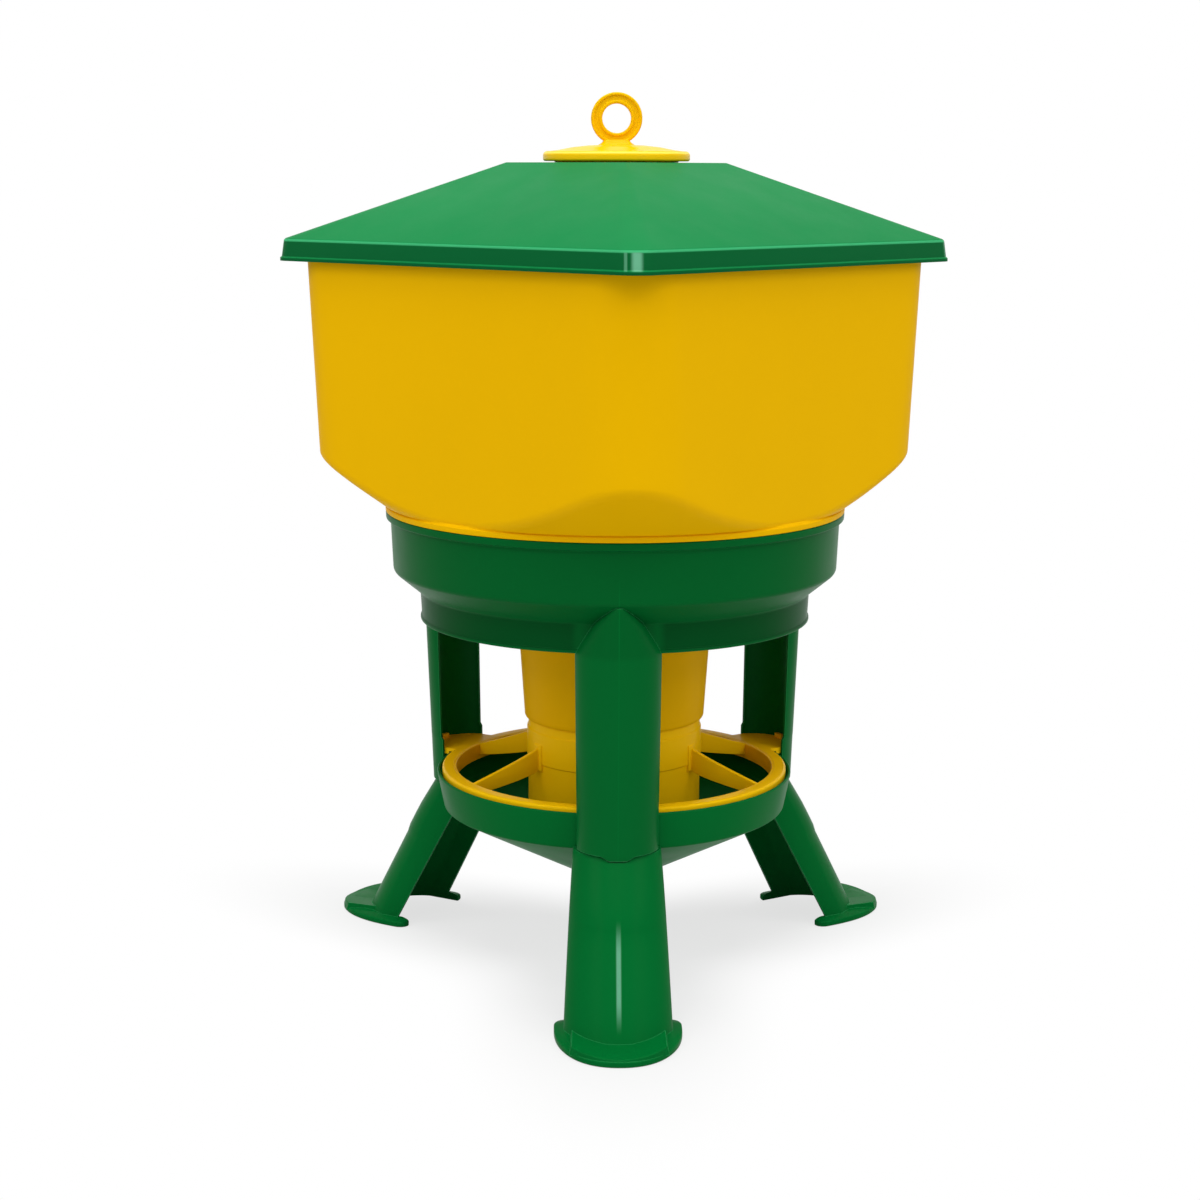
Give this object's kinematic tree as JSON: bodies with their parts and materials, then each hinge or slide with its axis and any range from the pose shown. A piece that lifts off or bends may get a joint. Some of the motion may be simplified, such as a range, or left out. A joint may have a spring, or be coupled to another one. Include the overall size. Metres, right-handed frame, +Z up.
{
  "type": "poultry feeder",
  "caption": "Gravity feeder for poultry: square hopper with a pyramid roof and ring-handled filler cap, on a round collar with splayed legs above a grilled trough pan.",
  "frame": {"origin": "on the floor, on the upright axis of the collar, feed tube and pan", "axes": "+Z up along that axis, -Y towards the front leg"},
  "size_m": [0.6542, 0.6555, 0.8661],
  "materials": {
    "green_stand": "glossy moulded",
    "green_pan": "glossy moulded",
    "green_leg": "glossy moulded",
    "yellow_hopper": "satin moulded",
    "green_roof": "satin moulded",
    "yellow_cap": "glossy moulded",
    "yellow_grill": "glossy moulded"
  },
  "bodies": {
    "stand": {"stand_collar": "green_stand", "trough_pan": "green_pan", "lower_leg_front": "green_leg", "lower_leg_right": "green_leg", "lower_leg_left": "green_leg"},
    "hopper": {"hopper": "yellow_hopper"},
    "roof_lid": {"roof_lid": "green_roof"},
    "filler_cap": {"filler_cap": "yellow_cap"},
    "feed_grill": {"feed_grill": "yellow_grill"}
  },
  "joints": [
    {"name": "hopper_lift", "type": "slide", "parent": "stand", "child": "hopper", "axis": [0, 0, 1], "range_m": [0, 0.12]},
    {"name": "lid_lift", "type": "slide", "parent": "hopper", "child": "roof_lid", "axis": [0, 0, 1], "range_m": [0, 0.08]},
    {"name": "cap_lift", "type": "slide", "parent": "roof_lid", "child": "filler_cap", "axis": [0, 0, 1], "range_m": [0, 0.06]},
    {"name": "grill_lift", "type": "slide", "parent": "stand", "child": "feed_grill", "axis": [0, 0, 1], "range_m": [0, 0.009]}
  ]
}
